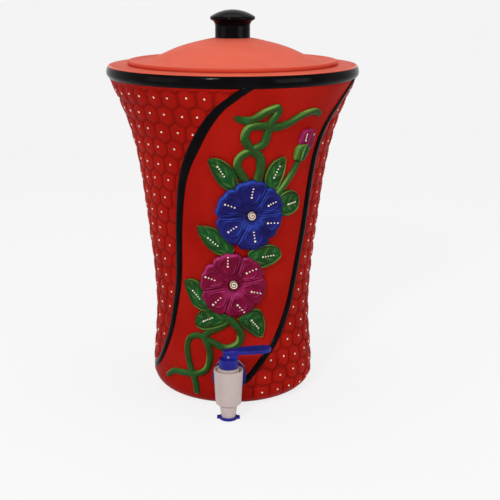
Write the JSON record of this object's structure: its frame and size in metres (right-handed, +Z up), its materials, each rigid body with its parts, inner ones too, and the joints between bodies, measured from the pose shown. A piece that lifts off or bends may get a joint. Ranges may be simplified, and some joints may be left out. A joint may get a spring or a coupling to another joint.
{
  "type": "clay water pot with tap",
  "caption": "Flared clay water pot with a lift-off domed lid, applied flowers and vines, and a push-lever tap low on its front.",
  "frame": {"origin": "centre of the flat underside of the pot, on the surface it stands on", "axes": "+Z up, the tap points along -Y, the tap's lever points along +X at rest"},
  "size_m": [0.25, 0.25, 0.3846],
  "materials": {
    "red_clay": "satin red paint on fired clay",
    "coral_clay": "satin coral paint on fired clay",
    "black_gloss": "gloss black enamel",
    "blue_petal": "metallic blue enamel",
    "magenta_petal": "metallic magenta enamel",
    "green_leaf": "brushed green enamel",
    "pearl_heart": "pearl enamel dots",
    "tap_white": "moulded white plastic",
    "tap_blue": "moulded blue plastic",
    "silicone": "moulded silicone",
    "blue_rubber": "moulded blue rubber",
    "black_rubber": "matt rubber",
    "spring_steel": "drawn stainless wire"
  },
  "bodies": {
    "pot": {"pot_body": "red_clay", "rim_band": "black_gloss", "panel_band_left": "black_gloss", "panel_band_right": "black_gloss", "flower_upper": "blue_petal", "flower_upper_heart": "pearl_heart", "flower_lower": "magenta_petal", "flower_lower_heart": "pearl_heart", "leaf_top_left": "green_leaf", "leaf_top_right": "green_leaf", "leaf_side_right": "green_leaf", "leaf_middle_left": "green_leaf", "leaf_middle_right": "green_leaf", "leaf_low_left": "green_leaf", "leaf_foot_left": "green_leaf", "leaf_foot_right": "green_leaf", "rosebud": "magenta_petal", "rosebud_cup": "green_leaf", "bud_stem": "green_leaf", "vine_top": "green_leaf", "vine_foot": "green_leaf", "tap_body": "tap_white", "outer_washer": "tap_white", "seal_washer": "blue_rubber", "inner_gasket": "black_rubber", "lock_washer": "tap_white", "lock_nut": "tap_white", "bonnet": "tap_white", "stem_seal": "silicone", "nozzle_ring": "tap_blue"},
    "lid": {"lid": "coral_clay", "lid_knob": "black_gloss"},
    "swivel": {"swivel_cap": "tap_blue"},
    "stem": {"valve_stem": "tap_white", "seat_plug": "silicone", "return_spring": "spring_steel"},
    "lever": {"lever": "tap_blue", "lever_pin": "spring_steel"}
  },
  "joints": [
    {"name": "lid_lift", "type": "slide", "parent": "pot", "child": "lid", "axis": [0, 0, 1], "range_m": [0, 0.12]},
    {"name": "lever_swivel", "type": "hinge", "parent": "pot", "child": "swivel", "pos_m": [0, -0.1092, 0.055], "axis": [0, 0, 1], "range_deg": [-205, 25]},
    {"name": "stem_lift", "type": "slide", "parent": "swivel", "child": "stem", "axis": [0, 0, 1], "range_m": [0, 0.00299], "stiffness_N_per_m": 40, "springref_m": -0.005, "deforming": ["return_spring"]},
    {"name": "lever_press", "type": "hinge", "parent": "stem", "child": "lever", "pos_m": [0, -0.1092, 0.0646], "axis": [0, 1, 0], "range_deg": [0, 22], "stiffness_Nm_per_rad": 0.002, "springref_deg": -17.19}
  ],
  "couplings": [
    {"joint": "lever_press", "follows": "stem_lift", "rad_per_m": 128.2}
  ]
}
